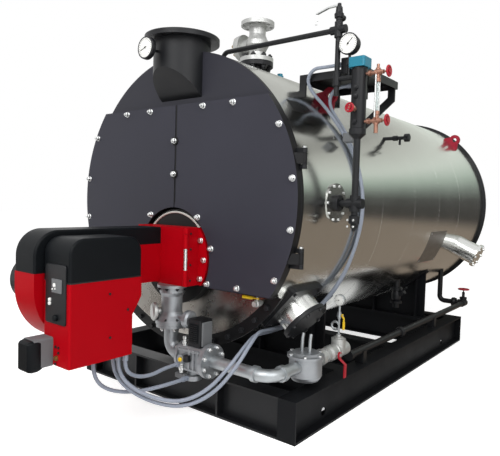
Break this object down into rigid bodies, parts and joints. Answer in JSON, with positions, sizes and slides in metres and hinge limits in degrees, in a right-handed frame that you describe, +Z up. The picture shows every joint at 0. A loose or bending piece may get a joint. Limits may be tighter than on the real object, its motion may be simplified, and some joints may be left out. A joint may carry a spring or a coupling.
{
  "type": "industrial_boiler",
  "caption": "Horizontal fire-tube steam boiler on a black beam skid, stainless jacket, charcoal split front doors, red forced-draught gas burner, gas line, gauge column and flue collar.",
  "frame": {"origin": "on the floor under the middle of the skid, on the middle cross beam's bottom flange", "axes": "+Z up, +Y from the burner front to the rear head along the shell, +X to the right of someone facing the doors"},
  "size_m": [1.8563, 4.008, 2.244],
  "materials": {
    "black_paint": "satin",
    "charcoal_paint": "satin",
    "stainless_jacket": "brushed",
    "polished_panel": "polished",
    "boiler_plate": "matt",
    "red_enamel": "gloss",
    "black_hood": "satin",
    "cast_silver": "cast",
    "galvanised": "dull zinc",
    "brass_fittings": "satin",
    "gauge_glass_clear": "clear",
    "teal_paint": "satin",
    "red_wheels": "gloss",
    "red_lugs": "satin",
    "yellow_grip": "satin",
    "servo_grey": "satin",
    "dial_case": "satin",
    "grey_conduit": "satin"
  },
  "bodies": {
    "boiler": {"burner_body": "red_enamel", "burner_covers": "black_hood", "burner_housing": "red_enamel", "clad_nozzles": "stainless_jacket", "cock_wheels": "red_wheels", "column_head": "teal_paint", "conduit_glands": "grey_conduit", "conduit_shelf_lower": "grey_conduit", "conduit_shelf_upper": "grey_conduit", "conduit_valve_loop": "grey_conduit", "conduit_valve_short": "grey_conduit", "control_shelf": "black_paint", "damper_servo": "servo_grey", "door_hinges": "black_paint", "fan_motor": "black_paint", "feed_pipe": "black_paint", "flue_stack": "black_paint", "flue_thermometer": "dial_case", "front_cock": "cast_silver", "furnace_throat": "boiler_plate", "gas_actuator": "black_paint", "gas_ball_valve": "cast_silver", "gas_filter": "cast_silver", "gas_gauge": "cast_silver", "gas_inlet_valve": "cast_silver", "gas_pipe": "galvanised", "gas_valve_block": "cast_silver", "gauge_cocks": "brass_fittings", "gauge_glass": "gauge_glass_clear", "handhole_pad": "stainless_jacket", "lifting_lugs": "red_lugs", "lower_front_panel": "polished_panel", "nozzle_covers": "black_paint", "pressure_gauge": "dial_case", "rear_head": "black_paint", "saddles": "black_paint", "safety_lever": "cast_silver", "safety_valve": "black_paint", "shell_jacket": "stainless_jacket", "shell_valves": "black_paint", "skid_cross_beams": "black_paint", "skid_front_beam": "black_paint", "skid_side_beams": "black_paint", "smokebox_front": "black_paint", "smokebox_wall": "stainless_jacket", "steam_piping": "black_paint", "steam_valve": "cast_silver", "top_vent": "teal_paint", "tube_sheet": "boiler_plate", "water_column": "black_paint"},
    "right_door": {"door_right": "charcoal_paint"},
    "left_door": {"door_left": "charcoal_paint"},
    "gas_valve_lever": {"gas_lever": "red_wheels"},
    "gauge_cock_lever": {"gauge_lever": "yellow_grip"},
    "drain_lever": {"front_cock_lever": "yellow_grip"},
    "feed_handwheel": {"feed_wheel": "red_wheels"}
  },
  "joints": [
    {"name": "right_door_hinge", "type": "hinge", "parent": "boiler", "child": "right_door", "pos_m": [0.785, -1.239, 1.0905], "axis": [0, 0, 1], "range_deg": [0, 120]},
    {"name": "left_door_hinge", "type": "hinge", "parent": "boiler", "child": "left_door", "pos_m": [-0.785, -1.239, 1.0905], "axis": [0, 0, -1], "range_deg": [0, 120]},
    {"name": "gas_valve_turn", "type": "hinge", "parent": "boiler", "child": "gas_valve_lever", "pos_m": [0.781, -0.819, 0.324], "axis": [1, 0, 0], "range_deg": [0, 90]},
    {"name": "gauge_cock_turn", "type": "hinge", "parent": "boiler", "child": "gauge_cock_lever", "pos_m": [0.7435, -0.734, 0.514], "axis": [1, 0, 0], "range_deg": [0, 90]},
    {"name": "drain_cock_turn", "type": "hinge", "parent": "boiler", "child": "drain_lever", "pos_m": [0.551, -1.249, 0.649], "axis": [0, 0, 1], "range_deg": [0, 90]},
    {"name": "feed_valve_turn", "type": "hinge", "parent": "boiler", "child": "feed_handwheel", "pos_m": [0.745, 1.511, 0.398], "axis": [0, 0, 1], "continuous": true}
  ]
}
